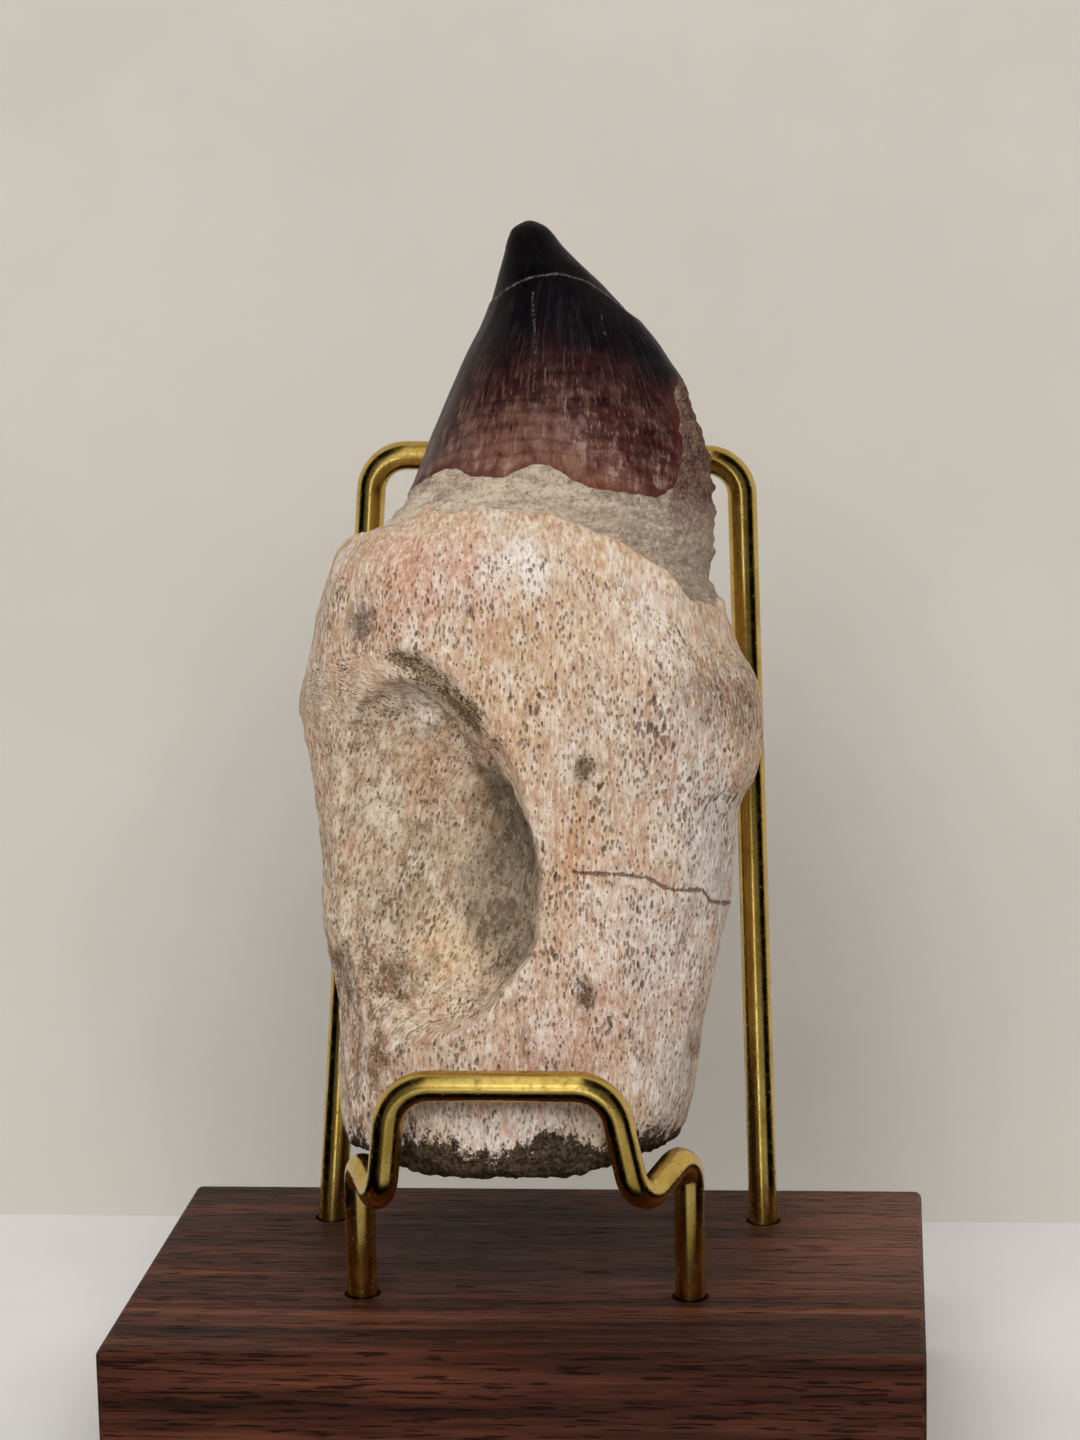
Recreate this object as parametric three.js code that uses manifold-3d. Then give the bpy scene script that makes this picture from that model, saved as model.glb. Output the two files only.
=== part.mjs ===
// A fossil mosasaur tooth on its display stand: a walnut block, two bent brass wires, and the tooth
// that leans back on them. Millimetres, +Z up, the viewer's side is -Y. The origin is the middle of
// the block's underside.

import * as THREE from 'three';
import { mergeVertices } from 'three/addons/utils/BufferGeometryUtils.js';
import Module from 'manifold-3d';

const wasm = await Module();
wasm.setup();

// Driving dimensions: the walnut block
const blockWidth = 84;
const blockDepth = 54;
const blockHeight = 19;
const blockEdge = 0.8;

// Driving dimensions: the brass wire, drawn rod of an eighth of an inch
const wireRadius = 1.6;
const wireSides = 12;
const bendSteps = 6;
const holeSides = 16;
const holeRadius = wireRadius + 0.35;
const footDepth = 12;
const holeDepth = footDepth + 0.5;

// Driving dimensions: the back wire, a tall arch that leans back and narrows upwards
const backFootX = 24.3;
const backFootY = 15.7;
const backLean = THREE.MathUtils.degToRad( 6 );
const backTopHalfWidth = 20.4;
const backTopShift = 1.9;
const backLegLeft = 85.7;
const backLegRight = 84.8;
const backBend = 4;

// Driving dimensions: the front wire, two legs, two arms coming forward, and a low bar
const footLeftX = - 17.2;
const footRightX = 17.5;
const frontFootY = - 9.25;
const armLeftHeight = 15;
const armRightHeight = 16.2;
const hookY = - 19.3;
const hookLeftX = - 13.5;
const hookRightX = 12.9;
const hookHeight = 12.9;
const barLeftX = - 12.1;
const barRightX = 10.2;
const barHeight = 25.7;
const legBend = 2.7;
const hookBend = 3;
const barBend = 4.4;

// Driving dimensions: the tooth, whose own axis leans back on the arch
const toothLean = THREE.MathUtils.degToRad( 11 );
const toothSeat = new THREE.Vector3( 0, - 4.8, blockHeight + 14.4 );
const toothLength = 98;
const tipRise = 0.8;
const toothColumns = 56;
const toothRows = 54;
const rootSquareness = 2.5;
const crownSquareness = 2;
const crownStart = 68;

// How far the tooth reaches from its axis on its four sides, as [height, reach] up the axis
const leftSide = [
	[ - 2, 16 ], [ 0, 17.7 ], [ 2, 19.1 ], [ 5, 19.8 ], [ 12, 19.8 ], [ 16, 19.7 ], [ 24, 20.9 ],
	[ 33, 21.3 ], [ 39, 21.7 ], [ 44, 22.7 ], [ 48, 23.5 ], [ 53, 22.5 ], [ 60.5, 21 ], [ 62.6, 19.9 ],
	[ 64.4, 18.2 ], [ 65.8, 15 ], [ 67.5, 13.3 ], [ 71, 11.3 ], [ 78, 8.5 ], [ 84, 6 ], [ 88, 4 ],
	[ 92, 2.9 ], [ 98, 1.7 ],
];
const rightSide = [
	[ - 2, 12.2 ], [ 0.2, 14.4 ], [ 2.3, 15.9 ], [ 5.4, 17.1 ], [ 10, 17.9 ], [ 22, 20.3 ], [ 28, 21.5 ],
	[ 33, 22.4 ], [ 37.2, 23.2 ], [ 39.2, 24.4 ], [ 41.5, 25.1 ], [ 45.5, 25.4 ], [ 49.7, 24.4 ],
	[ 54, 21.9 ], [ 58.2, 20 ], [ 61, 19.1 ], [ 65, 20.1 ], [ 69, 20.1 ], [ 74, 19.2 ], [ 80, 17.1 ],
	[ 86, 13.6 ], [ 92, 7.9 ], [ 96, 4 ], [ 98, 2.6 ],
];
const frontSide = [
	[ - 2, 11.4 ], [ 0, 12.7 ], [ 3, 13.5 ], [ 10, 14 ], [ 20, 14.8 ], [ 35, 16 ], [ 50, 16.8 ],
	[ 58, 16.4 ], [ 62, 15.5 ], [ 65, 14.2 ], [ 67.5, 13.2 ], [ 72, 12.7 ], [ 80, 10.6 ], [ 88, 6.9 ],
	[ 94, 3.4 ], [ 98, 0.9 ],
];
const backSide = [
	[ - 2, 10 ], [ 0, 11.2 ], [ 4, 12.6 ], [ 20, 13.8 ], [ 35, 14.8 ], [ 45, 15.2 ], [ 56, 14.8 ],
	[ 62, 14.2 ], [ 66, 13.8 ], [ 74, 13.5 ], [ 80, 11.9 ], [ 88, 8.8 ], [ 94, 6 ], [ 98, 3.6 ],
];

// The broken underside: lowest in the middle, higher over the two arms of the front wire
const undersideLow = - 1.1;
const undersideRise = 2.4;
const undersideRings = [ 0.94, 0.8, 0.6, 0.4, 0.2 ];
const undersideDrop = 1;

// The hollow in the front of the root, left by the next tooth, and the curved slot above it
const pitCentre = new THREE.Vector3( - 11, - 18.2, 31 );
const pitReach = new THREE.Vector3( 14, 10.6, 19.6 );
const pitTilt = THREE.MathUtils.degToRad( - 7 );
const pitTurn = THREE.MathUtils.degToRad( 12 );
const slotRadius = 0.9;
const slotRoute = [ [ - 12.6, 52 ], [ - 9.6, 51 ], [ - 6.6, 49.2 ], [ - 4.4, 47 ], [ - 2.9, 44.6 ] ];

// Surface relief of the root and the ridge down each edge of the crown
const ridgeHeight = 0.7;
const ridgeSharpness = 26;
const rightRidgeAngle = THREE.MathUtils.degToRad( - 24 );
const leftRidgeAngle = THREE.MathUtils.degToRad( 172 );

const walnut = new THREE.MeshStandardMaterial( { color: 0x43291f, roughness: 0.5, metalness: 0 } );
const brass = new THREE.MeshStandardMaterial( { color: 0xb8923c, roughness: 0.25, metalness: 1 } );
const fossil = new THREE.MeshStandardMaterial( { color: 0xcbb39a, roughness: 0.75, metalness: 0 } );

function toSolid( geometry ) {

	const bare = geometry.index ? geometry.toNonIndexed() : geometry.clone();
	bare.deleteAttribute( 'normal' );
	bare.deleteAttribute( 'uv' );
	const merged = mergeVertices( bare, 1e-4 );
	const vertProperties = new Float32Array( merged.attributes.position.array );
	const triVerts = new Uint32Array( merged.index.array );
	return new wasm.Manifold( new wasm.Mesh( { numProp: 3, vertProperties, triVerts } ) );

}

function toGeometry( solid ) {

	const mesh = solid.getMesh();
	const geometry = new THREE.BufferGeometry();
	geometry.setAttribute( 'position', new THREE.BufferAttribute( mesh.vertProperties, 3 ) );
	geometry.setIndex( new THREE.BufferAttribute( mesh.triVerts, 1 ) );
	geometry.computeVertexNormals();
	return geometry;

}

// Wires

// The arc that replaces a corner of a bent wire, as points from the leg before it to the one after it
function bendPoints( before, corner, after, radius ) {

	const toBefore = before.clone().sub( corner ).normalize();
	const toAfter = after.clone().sub( corner ).normalize();
	const halfAngle = toBefore.angleTo( toAfter ) / 2;
	const middle = toBefore.clone().add( toAfter ).normalize();
	const centre = middle.multiplyScalar( radius / Math.sin( halfAngle ) ).add( corner );
	const start = toBefore.multiplyScalar( radius / Math.tan( halfAngle ) ).add( corner ).sub( centre );
	const end = toAfter.multiplyScalar( radius / Math.tan( halfAngle ) ).add( corner ).sub( centre );
	const axis = start.clone().cross( end ).normalize();
	const sweep = start.angleTo( end );
	const points = [];

	for ( let step = 0; step <= bendSteps; step ++ ) {

		points.push( start.clone().applyAxisAngle( axis, sweep * step / bendSteps ).add( centre ) );

	}

	return points;

}

// A curve that runs straight from point to point, with one step of an extrusion at each point
class PointPath extends THREE.Curve {

	constructor( points ) {

		super();
		this.points = points;

	}

	getPoint( t, target = new THREE.Vector3() ) {

		const place = t * ( this.points.length - 1 );
		const index = Math.min( Math.floor( place ), this.points.length - 2 );
		return target.lerpVectors( this.points[ index ], this.points[ index + 1 ], place - index );

	}

	getTangent( t, target = new THREE.Vector3() ) {

		const last = this.points.length - 1;
		const index = Math.round( t * last );
		const ahead = this.points[ Math.min( index + 1, last ) ];
		const behind = this.points[ Math.max( index - 1, 0 ) ];
		return target.subVectors( ahead, behind ).normalize();

	}

	getUtoTmapping( u ) {

		return u;

	}

}

function tubeAlong( points, radius, sides ) {

	const round = new THREE.Shape();
	for ( let side = 0; side < sides; side ++ ) {

		const angle = 2 * Math.PI * side / sides;
		const x = radius * Math.cos( angle );
		const y = radius * Math.sin( angle );
		if ( side === 0 ) round.moveTo( x, y );
		else round.lineTo( x, y );

	}

	round.closePath();
	return new THREE.ExtrudeGeometry( round, {
		steps: points.length - 1,
		curveSegments: 1,
		bevelEnabled: false,
		extrudePath: new PointPath( points ),
	} );

}

function bentWire( corners, bends ) {

	const points = [ corners[ 0 ] ];
	for ( let index = 1; index < corners.length - 1; index ++ ) {

		const [ before, corner, after ] = corners.slice( index - 1, index + 2 );
		points.push( ...bendPoints( before, corner, after, bends[ index - 1 ] ) );

	}

	points.push( corners[ corners.length - 1 ] );
	return tubeAlong( points, wireRadius, wireSides );

}

// The buried end of a leg, on the line from the leg's top down through its foot
function buriedEnd( foot, top ) {

	const down = foot.clone().sub( top ).normalize();
	return down.multiplyScalar( footDepth ).add( foot );

}

function backWireCorners() {

	const corner = ( x, leg ) => new THREE.Vector3(
		x,
		backFootY + leg * Math.sin( backLean ),
		blockHeight + leg * Math.cos( backLean ),
	);
	const leftFoot = new THREE.Vector3( - backFootX, backFootY, blockHeight );
	const rightFoot = new THREE.Vector3( backFootX, backFootY, blockHeight );
	const leftTop = corner( backTopShift - backTopHalfWidth, backLegLeft );
	const rightTop = corner( backTopShift + backTopHalfWidth, backLegRight );
	return [ buriedEnd( leftFoot, leftTop ), leftTop, rightTop, buriedEnd( rightFoot, rightTop ) ];

}

function frontWireCorners() {

	const leftFoot = new THREE.Vector3( footLeftX, frontFootY, blockHeight - footDepth );
	const leftArm = new THREE.Vector3( footLeftX, frontFootY, blockHeight + armLeftHeight );
	const leftHook = new THREE.Vector3( hookLeftX, hookY, blockHeight + hookHeight );
	const leftBar = new THREE.Vector3( barLeftX, hookY, blockHeight + barHeight );
	const rightBar = new THREE.Vector3( barRightX, hookY, blockHeight + barHeight );
	const rightHook = new THREE.Vector3( hookRightX, hookY, blockHeight + hookHeight );
	const rightArm = new THREE.Vector3( footRightX, frontFootY, blockHeight + armRightHeight );
	const rightFoot = new THREE.Vector3( footRightX, frontFootY, blockHeight - footDepth );
	return [ leftFoot, leftArm, leftHook, leftBar, rightBar, rightHook, rightArm, rightFoot ];

}

function backWire() {

	return new THREE.Mesh( bentWire( backWireCorners(), [ backBend, backBend ] ), brass );

}

function frontWire() {

	const bends = [ legBend, hookBend, barBend, barBend, hookBend, legBend ];
	return new THREE.Mesh( bentWire( frontWireCorners(), bends ), brass );

}

// Walnut block

// A blind hole along the line of a leg, from inside the block to above its top
function legHole( buried, top ) {

	const up = top.clone().sub( buried ).normalize();
	const low = up.clone().multiplyScalar( footDepth - holeDepth ).add( buried );
	const high = up.clone().multiplyScalar( footDepth + 2 ).add( buried );
	return toSolid( tubeAlong( [ low, high ], holeRadius, holeSides ) );

}

function walnutBase() {

	const halfWidth = blockWidth / 2 - blockEdge;
	const halfDepth = blockDepth / 2 - blockEdge;
	const outline = new THREE.Shape( [
		new THREE.Vector2( - halfWidth, - halfDepth ),
		new THREE.Vector2( halfWidth, - halfDepth ),
		new THREE.Vector2( halfWidth, halfDepth ),
		new THREE.Vector2( - halfWidth, halfDepth ),
	] );
	const slab = new THREE.ExtrudeGeometry( outline, {
		depth: blockHeight - 2 * blockEdge,
		bevelThickness: blockEdge,
		bevelSize: blockEdge,
		bevelSegments: 2,
	} );
	slab.translate( 0, 0, blockEdge );

	const back = backWireCorners();
	const front = frontWireCorners();
	const legs = [
		[ back[ 0 ], back[ 1 ] ],
		[ back[ 3 ], back[ 2 ] ],
		[ front[ 0 ], front[ 1 ] ],
		[ front[ 7 ], front[ 6 ] ],
	];
	let solid = toSolid( slab );
	for ( const [ buried, top ] of legs ) solid = solid.subtract( legHole( buried, top ) );
	return new THREE.Mesh( toGeometry( solid ), walnut );

}

// Tooth

// A smooth run through a side's [height, reach] pairs
function sideCurve( pairs ) {

	const heights = pairs.map( pair => pair[ 0 ] );
	const reaches = pairs.map( pair => pair[ 1 ] );
	const curve = new THREE.CubicInterpolant( heights, reaches, 1 );
	return height => curve.evaluate( height )[ 0 ];

}

const reachLeft = sideCurve( leftSide );
const reachRight = sideCurve( rightSide );
const reachFront = sideCurve( frontSide );
const reachBack = sideCurve( backSide );

function signedPower( value, power ) {

	return Math.sign( value ) * Math.abs( value ) ** power;

}

// The height of the broken lower edge: low at the front and back, higher over the arms
function lowerEdge( angle ) {

	const rise = THREE.MathUtils.smoothstep( Math.abs( Math.cos( angle ) ), 0.5, 0.95 );
	return undersideLow + undersideRise * rise;

}

// Low swells all over the root, fading out at the crown
function rootSwell( angle, height ) {

	const fade = 1 - THREE.MathUtils.smoothstep( height, 60, crownStart );
	const broad = 0.3 * Math.sin( 3 * angle + 0.11 * height );
	const narrow = 0.2 * Math.sin( 7 * angle - 0.23 * height + 1.3 );
	const small = 0.15 * Math.sin( 13 * angle + 0.5 * height );
	return fade * ( broad + narrow + small );

}

// The crown's two edge ridges, each a narrow swell along one angle
function crownRidges( angle, height ) {

	const grow = THREE.MathUtils.smoothstep( height, crownStart, crownStart + 6 );
	const shrink = 1 - THREE.MathUtils.smoothstep( height, 86, toothLength );
	const ridge = centre => Math.exp( ridgeSharpness * ( Math.cos( angle - centre ) - 1 ) );
	return grow * shrink * ridgeHeight * ( ridge( rightRidgeAngle ) + ridge( leftRidgeAngle ) );

}

// A point on the tooth's side, at an angle round its axis (0 is the right, 90 degrees the back)
function toothPoint( angle, height ) {

	const squareness = THREE.MathUtils.lerp(
		rootSquareness,
		crownSquareness,
		THREE.MathUtils.smoothstep( height, 58, 72 ),
	);
	const across = signedPower( Math.cos( angle ), 2 / squareness );
	const along = signedPower( Math.sin( angle ), 2 / squareness );
	const middle = ( reachRight( height ) - reachLeft( height ) ) / 2;
	const halfWidth = ( reachRight( height ) + reachLeft( height ) ) / 2;
	const depth = along > 0 ? reachBack( height ) : reachFront( height );
	const relief = rootSwell( angle, height ) + crownRidges( angle, height );
	return new THREE.Vector3(
		middle + across * halfWidth + relief * Math.cos( angle ),
		along * depth + relief * Math.sin( angle ),
		height,
	);

}

// The rings of the tooth's surface, from the middle of its underside to just under its tip
function toothRings() {

	const rings = [];
	const angles = Array.from( { length: toothColumns }, ( _, index ) => 2 * Math.PI * index / toothColumns );
	for ( const share of [ ...undersideRings ].reverse() ) {

		rings.push( angles.map( angle => {

			const edge = toothPoint( angle, lowerEdge( angle ) );
			const lump = 0.45 * Math.sin( 5 * angle + 9 * share ) * ( 1 - share );
			const drop = undersideDrop * ( 1 - share ) ** 0.5;
			const rest = THREE.MathUtils.lerp( undersideLow, edge.z, share * share );
			return new THREE.Vector3( edge.x * share, edge.y * share, rest - drop + lump );

		} ) );

	}

	for ( let row = 0; row <= toothRows; row ++ ) {

		rings.push( angles.map( angle => {

			const low = lowerEdge( angle );
			return toothPoint( angle, low + ( toothLength - low ) * row / toothRows );

		} ) );

	}

	return rings;

}

function ringMiddle( ring ) {

	return ring.reduce( ( sum, point ) => sum.add( point ), new THREE.Vector3() ).divideScalar( ring.length );

}

function toothBlank() {

	const rings = toothRings();
	const positions = rings.flat().flatMap( point => point.toArray() );
	const bottom = rings.length * toothColumns;
	const top = bottom + 1;
	const tip = ringMiddle( rings[ rings.length - 1 ] );
	tip.z += tipRise;
	positions.push( ...ringMiddle( rings[ 0 ] ).toArray(), ...tip.toArray() );

	const indices = [];
	for ( let column = 0; column < toothColumns; column ++ ) {

		const next = ( column + 1 ) % toothColumns;
		for ( let ring = 0; ring < rings.length - 1; ring ++ ) {

			const low = ring * toothColumns;
			const high = low + toothColumns;
			indices.push( low + column, low + next, high + next );
			indices.push( low + column, high + next, high + column );

		}

		const last = ( rings.length - 1 ) * toothColumns;
		indices.push( bottom, next, column );
		indices.push( top, last + column, last + next );

	}

	const geometry = new THREE.BufferGeometry();
	geometry.setAttribute( 'position', new THREE.Float32BufferAttribute( positions, 3 ) );
	geometry.setIndex( indices );
	return geometry;

}

function pitCutter() {

	const egg = new THREE.SphereGeometry( 1, 36, 24 );
	egg.rotateX( Math.PI / 2 );
	egg.scale( pitReach.x, pitReach.y, pitReach.z );
	egg.rotateZ( pitTurn );
	egg.rotateY( pitTilt );
	egg.translate( pitCentre.x, pitCentre.y, pitCentre.z );
	return toSolid( egg );

}

// The slot's route lies on the front of the root, left of its axis
function slotCutter() {

	const points = slotRoute.map( ( [ x, height ] ) => {

		const share = ( Math.abs( x ) / reachLeft( height ) ) ** rootSquareness;
		const depth = reachFront( height ) * ( 1 - share ) ** ( 1 / rootSquareness );
		return new THREE.Vector3( x, - depth, height );

	} );
	const route = new THREE.CatmullRomCurve3( points ).getPoints( 10 );
	return toSolid( tubeAlong( route, slotRadius, 8 ) );

}

function tooth() {

	const solid = toSolid( toothBlank() ).subtract( pitCutter() ).subtract( slotCutter() );
	const mesh = new THREE.Mesh( toGeometry( solid ), fossil );
	mesh.position.copy( toothSeat );
	mesh.rotation.x = - toothLean;
	return mesh;

}

// The whole piece

function named( mesh, name ) {

	mesh.name = name;
	return mesh;

}

const group = new THREE.Group();
group.add( named( walnutBase(), 'walnut_base' ) );
group.add( named( backWire(), 'back_wire' ) );
group.add( named( frontWire(), 'front_wire' ) );
group.add( named( tooth(), 'tooth' ) );

export default group;
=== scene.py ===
import math

import bpy
import numpy as np
from mathutils import Matrix, Vector, noise


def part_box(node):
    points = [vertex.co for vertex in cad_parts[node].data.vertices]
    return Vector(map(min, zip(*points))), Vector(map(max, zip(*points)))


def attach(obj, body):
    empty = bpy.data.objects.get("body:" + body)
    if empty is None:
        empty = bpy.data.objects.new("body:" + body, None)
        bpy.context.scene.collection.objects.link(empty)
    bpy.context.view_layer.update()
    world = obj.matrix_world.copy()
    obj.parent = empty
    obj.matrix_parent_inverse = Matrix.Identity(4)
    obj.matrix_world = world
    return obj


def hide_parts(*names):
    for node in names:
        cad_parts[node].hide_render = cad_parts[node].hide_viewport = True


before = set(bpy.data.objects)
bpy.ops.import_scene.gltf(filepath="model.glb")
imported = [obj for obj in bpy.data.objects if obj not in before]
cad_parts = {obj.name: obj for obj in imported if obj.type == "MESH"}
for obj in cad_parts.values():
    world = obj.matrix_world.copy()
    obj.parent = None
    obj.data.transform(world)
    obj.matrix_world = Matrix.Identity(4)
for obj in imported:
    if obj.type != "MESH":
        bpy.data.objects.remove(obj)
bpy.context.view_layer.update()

# A fossil mosasaur tooth on its stand. Metres, +Z up, the viewer's side is -Y. Sizes in the
# dictionaries are in millimetres unless a note says otherwise.
mm = 0.001


def tone(red, green, blue):
    # a screen colour from 0 to 255, as the linear colour that a shader takes
    shares = [value / 255 for value in (red, green, blue)]
    linear = [((share + 0.055) / 1.055) ** 2.4 if share > 0.04045 else share / 12.92 for share in shares]
    return (*linear, 1.0)


def toneSet(colours):
    return {name: tone(*colour) for name, colour in colours.items()}


def deselectAll():
    bpy.ops.object.select_all(action="DESELECT")


def makeActive(piece):
    deselectAll()
    piece.select_set(True)
    bpy.context.view_layer.objects.active = piece


def placeInMesh(piece, name):
    makeActive(piece)
    bpy.ops.object.transform_apply(location=True, rotation=True, scale=True)
    piece.name = name
    piece.data.name = name
    return piece


def applyAll(piece):
    makeActive(piece)
    for modifier in list(piece.modifiers):
        bpy.ops.object.modifier_apply(modifier=modifier.name)


# Shader maths

class Signal:
    # one socket of a shader, so that a mask can be written as sums and products
    def __init__(self, shader, socket):
        self.shader = shader
        self.socket = socket

    def math(self, operation, *values):
        return self.shader.add("ShaderNodeMath", {"operation": operation}, dict(enumerate(values)))

    def __add__(self, other):
        return self.math("ADD", self, other)

    def __radd__(self, other):
        return self.math("ADD", other, self)

    def __sub__(self, other):
        return self.math("SUBTRACT", self, other)

    def __rsub__(self, other):
        return self.math("SUBTRACT", other, self)

    def __mul__(self, other):
        return self.math("MULTIPLY", self, other)

    def __rtruediv__(self, other):
        return self.math("DIVIDE", other, self)

    def __abs__(self):
        return self.math("ABSOLUTE", self)

    def sine(self):
        return self.math("SINE", self)

    def rise(self, low, high):
        # 0 below low, 1 above high, smooth between
        return self.shader.add("ShaderNodeMapRange", {"interpolation_type": "SMOOTHSTEP"},
                               {"Value": self, "From Min": low, "From Max": high})

    def fall(self, low, high):
        return 1 - self.rise(low, high)


class Shader:
    def __init__(self, name):
        self.material = bpy.data.materials.new(name)
        self.material.use_nodes = True
        self.tree = self.material.node_tree
        self.surface = self.tree.nodes["Principled BSDF"]

    def add(self, kind, settings=None, sockets=None, out=0):
        node = self.tree.nodes.new(kind)
        for key, value in (settings or {}).items():
            if key == "stops":
                self.setStops(node.color_ramp, value)
            else:
                setattr(node, key, value)
        for key, value in (sockets or {}).items():
            self.join(value, node.inputs[key])
        return Signal(self, node.outputs[out])

    def join(self, value, socket):
        if isinstance(value, Signal):
            self.tree.links.new(value.socket, socket)
        else:
            socket.default_value = value

    def setStops(self, ramp, stops):
        while len(ramp.elements) < len(stops):
            ramp.elements.new(1.0)
        for element, (position, colour) in zip(ramp.elements, stops):
            element.position = position
            element.color = colour

    def finish(self, **sockets):
        for name, value in sockets.items():
            self.join(value, self.surface.inputs[name.replace("_", " ")])
        return self.material

    def mix(self, share, low, high, blend="MIX"):
        return self.add("ShaderNodeMix", {"data_type": "RGBA", "blend_type": blend},
                        {0: share, 6: low, 7: high}, 2)

    def coats(self, colour, layers):
        # lays tones over a colour one after another, each through its own mask
        for mask, over in layers:
            colour = self.mix(mask, colour, over)
        return colour

    def mixVector(self, share, low, high):
        return self.add("ShaderNodeMix", {"data_type": "VECTOR"}, {0: share, 4: low, 5: high}, 1)

    def ramp(self, value, stops):
        return self.add("ShaderNodeValToRGB", {"stops": stops}, {"Fac": value})

    def attribute(self, name, out=2):
        return self.add("ShaderNodeAttribute", {"attribute_name": name}, out=out)

    def coordinates(self, rotation=(0, 0, 0), location=(0, 0, 0)):
        # the object's own coordinates, in millimetres
        place = self.add("ShaderNodeTexCoord", out="Object")
        return self.stretch(place, (1 / mm, 1 / mm, 1 / mm), rotation, location)

    def stretch(self, vector, scale=(1, 1, 1), rotation=(0, 0, 0), location=(0, 0, 0)):
        return self.add("ShaderNodeMapping", None, {
            "Vector": vector, "Scale": scale, "Rotation": rotation, "Location": location})

    def combine(self, x, y, z):
        return self.add("ShaderNodeCombineXYZ", None, {0: x, 1: y, 2: z})

    def split(self, vector):
        node = self.tree.nodes.new("ShaderNodeSeparateXYZ")
        self.join(vector, node.inputs[0])
        return [Signal(self, output) for output in node.outputs]

    def noise(self, vector, scale, detail=3.0, roughness=0.55, distortion=0.0):
        return self.add("ShaderNodeTexNoise", None, {
            "Vector": vector, "Scale": scale, "Detail": detail,
            "Roughness": roughness, "Distortion": distortion})

    def cells(self, vector, scale):
        return self.add("ShaderNodeTexVoronoi", None, {"Vector": vector, "Scale": scale}, "Distance")

    def bump(self, height, distance, strength):
        return self.add("ShaderNodeBump", None, {
            "Height": height, "Distance": distance, "Strength": strength})


# Walnut block

walnutBlock = {
    "edge": 0.8,            # rounding of every edge
    "edgeSteps": 4,
    "holeRadius": 1.95,
    "holeDepth": 12.5,
    "holeSides": 32,
    "drillAbove": 2,        # how far the drill stands out of the block
    "gloss": 0.14,
    "relief": 0.14,
    "tones": {
        "dark": (30, 14, 8), "mid": (58, 29, 18), "warm": (92, 50, 34), "light": (124, 75, 52),
        # the tone for the middle of the top is the tooth's painted shadow
        "fine": (30, 14, 9), "figure": (44, 24, 17), "toothShadow": (36, 26, 24), "paler": (124, 84, 66),
        "pore": (18, 9, 7),
    },
}

# Brass wires. Each corner is where two straights would meet, each bend its inner radius.
brassWires = {
    "radius": 1.6,
    "sides": 24,
    "stepAngle": 7.5,       # degrees of bend between two rings
    "buried": 12,           # length of each leg inside the block
    # the back wire stands in one leaning plane: [across, length up the leg]
    "backY": 15.7,
    "backLean": math.radians(6),
    "backLeft": [(-24.3, 0), (-18.5, 85.7)],
    "backRight": [(22.3, 84.8), (24.3, 0)],
    "backBends": [4, 4],
    # the front wire, with heights from the top of the block
    "frontCorners": [
        (-17.2, -9.25, -12), (-17.2, -9.25, 15), (-13.5, -19.3, 12.9), (-12.1, -19.3, 25.7),
        (10.2, -19.3, 25.7), (12.9, -19.3, 12.9), (17.5, -9.25, 16.2), (17.5, -9.25, -12),
    ],
    "frontBends": [2.7, 3, 4.4, 4.4, 3, 2.7],
    "relief": 0.04,
    "tones": {
        "bright": (216, 186, 102), "dull": (188, 154, 72), "smear": (132, 96, 38), "speck": (60, 40, 20),
    },
}
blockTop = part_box("walnut_base")[1].z / mm


def backCorner(x, leg):
    lean = brassWires["backLean"]
    return Vector((x, brassWires["backY"] + leg * math.sin(lean), blockTop + leg * math.cos(lean)))


def buriedEnd(foot, top):
    return foot + (foot - top).normalized() * brassWires["buried"]


def backWireRoute():
    leftFoot, leftTop = [backCorner(*corner) for corner in brassWires["backLeft"]]
    rightTop, rightFoot = [backCorner(*corner) for corner in brassWires["backRight"]]
    corners = [buriedEnd(leftFoot, leftTop), leftTop, rightTop, buriedEnd(rightFoot, rightTop)]
    return corners, brassWires["backBends"]


def frontWireRoute():
    onBlock = Vector((0, 0, blockTop))
    corners = [Vector(corner) + onBlock for corner in brassWires["frontCorners"]]
    return corners, brassWires["frontBends"]


def makeWire(name, corners, bends):
    # a ring of points is drawn along each straight and spun round each bend
    corners = [corner * mm for corner in corners]
    deselectAll()
    heading = (corners[1] - corners[0]).normalized()
    bpy.ops.mesh.primitive_circle_add(
        vertices=brassWires["sides"], radius=brassWires["radius"] * mm, location=corners[0],
        rotation=heading.to_track_quat("Z", "Y").to_euler())
    wire = placeInMesh(bpy.context.object, name)
    bpy.ops.object.mode_set(mode="EDIT")
    bpy.ops.mesh.select_all(action="SELECT")
    here = corners[0]
    for before, corner, after, bend in zip(corners, corners[1:], corners[2:], bends):
        back, ahead = (before - corner).normalized(), (after - corner).normalized()
        half = back.angle(ahead) / 2
        turn = math.pi - 2 * half
        setback = bend * mm / math.tan(half)
        start = corner + back * setback
        centre = corner + (back + ahead).normalized() * (bend * mm / math.sin(half))
        bpy.ops.mesh.extrude_region_move(TRANSFORM_OT_translate={"value": start - here})
        bpy.ops.mesh.spin(
            steps=max(2, round(math.degrees(turn) / brassWires["stepAngle"])),
            angle=turn, center=centre, axis=(start - centre).cross(back).normalized())
        here = corner + ahead * setback
    bpy.ops.mesh.extrude_region_move(TRANSFORM_OT_translate={"value": corners[-1] - here})
    bpy.ops.mesh.select_all(action="SELECT")
    bpy.ops.mesh.fill_holes(sides=0)
    bpy.ops.mesh.select_all(action="SELECT")
    bpy.ops.mesh.normals_make_consistent(inside=False)
    bpy.ops.object.mode_set(mode="OBJECT")
    bpy.ops.object.shade_smooth_by_angle(angle=math.radians(40))
    return wire


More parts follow.
